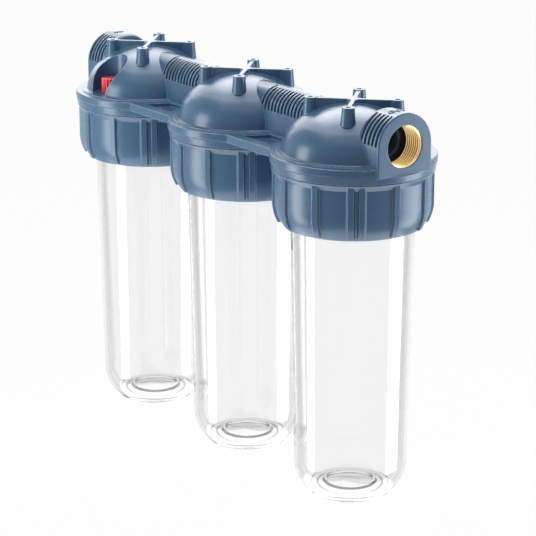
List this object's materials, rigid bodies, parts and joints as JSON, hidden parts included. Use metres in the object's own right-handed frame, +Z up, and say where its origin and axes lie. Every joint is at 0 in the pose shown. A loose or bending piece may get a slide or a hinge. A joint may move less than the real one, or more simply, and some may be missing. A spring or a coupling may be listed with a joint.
{
  "type": "triple water filter housing",
  "caption": "In-line water filter housing: clear bowls hang from a one-piece finned head, held by ribbed lock rings, with brass threaded ports and a red vent screw.",
  "frame": {"origin": "centre of the underside of the bounding box, midway along the row and level with the feet of the bowls", "axes": "+X along the row from inlet to outlet, +Z up, -Y the front with the vent pocket"},
  "size_m": [0.4076, 0.128, 0.3138],
  "materials": {
    "head_plastic": "satin moulded polypropylene, slate blue",
    "ring_plastic": "satin moulded polypropylene, slate blue",
    "clear_plastic": "clear moulded plastic",
    "seal_rubber": "matte rubber",
    "insert_brass": "machined brass",
    "vent_plastic": "gloss moulded plastic, red"
  },
  "bodies": {
    "head": {"head_manifold": "head_plastic", "inlet_insert": "insert_brass", "outlet_insert": "insert_brass", "inlet_gasket": "seal_rubber", "outlet_gasket": "seal_rubber"},
    "bowl_1": {"sump_1": "clear_plastic", "sump_seal_1": "seal_rubber"},
    "ring_1": {"lock_ring_1": "ring_plastic"},
    "bowl_2": {"sump_2": "clear_plastic", "sump_seal_2": "seal_rubber"},
    "ring_2": {"lock_ring_2": "ring_plastic"},
    "bowl_3": {"sump_3": "clear_plastic", "sump_seal_3": "seal_rubber"},
    "ring_3": {"lock_ring_3": "ring_plastic"},
    "vent_lift": {"vent_seal": "seal_rubber"},
    "vent": {"vent_screw": "vent_plastic"}
  },
  "joints": [
    {"name": "bowl_1_drop", "type": "slide", "parent": "head", "child": "bowl_1", "axis": [0, 0, -1], "range_m": [0, 0.015]},
    {"name": "ring_1_turn", "type": "hinge", "parent": "bowl_1", "child": "ring_1", "pos_m": [-0.1402, 0, 0.24], "axis": [0, 0, -1], "range_deg": [0, 1080]},
    {"name": "bowl_2_drop", "type": "slide", "parent": "head", "child": "bowl_2", "axis": [0, 0, -1], "range_m": [0, 0.015]},
    {"name": "ring_2_turn", "type": "hinge", "parent": "bowl_2", "child": "ring_2", "pos_m": [0, 0, 0.24], "axis": [0, 0, -1], "range_deg": [0, 1080]},
    {"name": "bowl_3_drop", "type": "slide", "parent": "head", "child": "bowl_3", "axis": [0, 0, -1], "range_m": [0, 0.015]},
    {"name": "ring_3_turn", "type": "hinge", "parent": "bowl_3", "child": "ring_3", "pos_m": [0.1402, 0, 0.24], "axis": [0, 0, -1], "range_deg": [0, 1080]},
    {"name": "vent_rise", "type": "slide", "parent": "head", "child": "vent_lift", "axis": [0, 0, 1], "range_m": [0, 0.006]},
    {"name": "vent_turn", "type": "hinge", "parent": "vent_lift", "child": "vent", "pos_m": [-0.13895, -0.042, 0.28], "axis": [0, 0, 1], "range_deg": [0, 1440]}
  ],
  "couplings": [
    {"joint": "ring_1_turn", "follows": "bowl_1_drop", "rad_per_m": 1256.6},
    {"joint": "ring_2_turn", "follows": "bowl_2_drop", "rad_per_m": 1256.6},
    {"joint": "ring_3_turn", "follows": "bowl_3_drop", "rad_per_m": 1256.6},
    {"joint": "vent_turn", "follows": "vent_rise", "rad_per_m": 4188.8}
  ]
}
